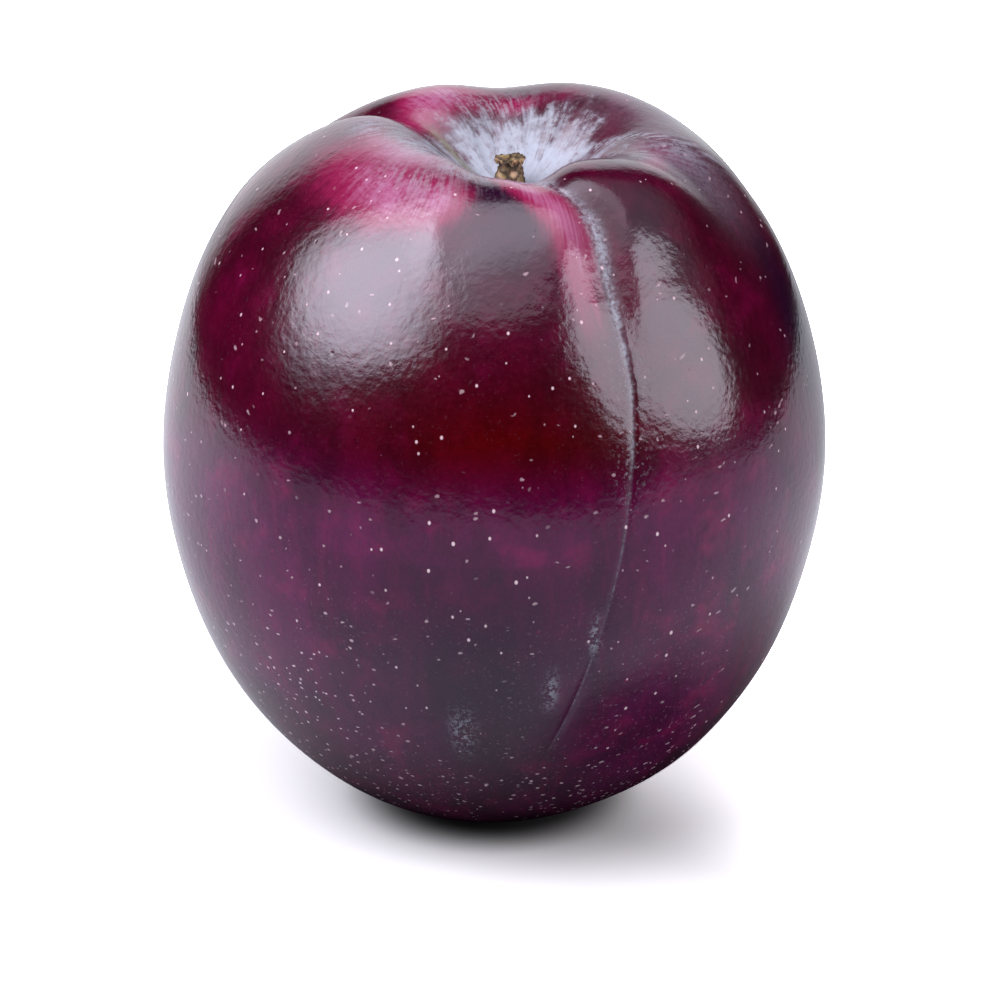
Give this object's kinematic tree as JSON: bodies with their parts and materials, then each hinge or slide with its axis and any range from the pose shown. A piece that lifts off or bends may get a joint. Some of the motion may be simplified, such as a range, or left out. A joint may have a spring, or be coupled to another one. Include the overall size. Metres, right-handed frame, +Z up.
{
  "type": "plum",
  "caption": "Ripe round dark-red plum standing on its base, with a suture furrow and a stem hollow that holds a short broken woody stem stub.",
  "frame": {"origin": "middle of the small flat foot that the fruit rests on", "axes": "+Z up the fruit towards the stem hollow, -Y towards the suture, +X to the right seen from the suture"},
  "size_m": [0.056, 0.056, 0.0609],
  "materials": {
    "plum_skin": "glossy waxed skin with a thin patchy bloom",
    "stem_wood": "dry broken end"
  },
  "bodies": {
    "root": {"fruit": "plum_skin", "stem_stub": "stem_wood"}
  },
  "joints": []
}
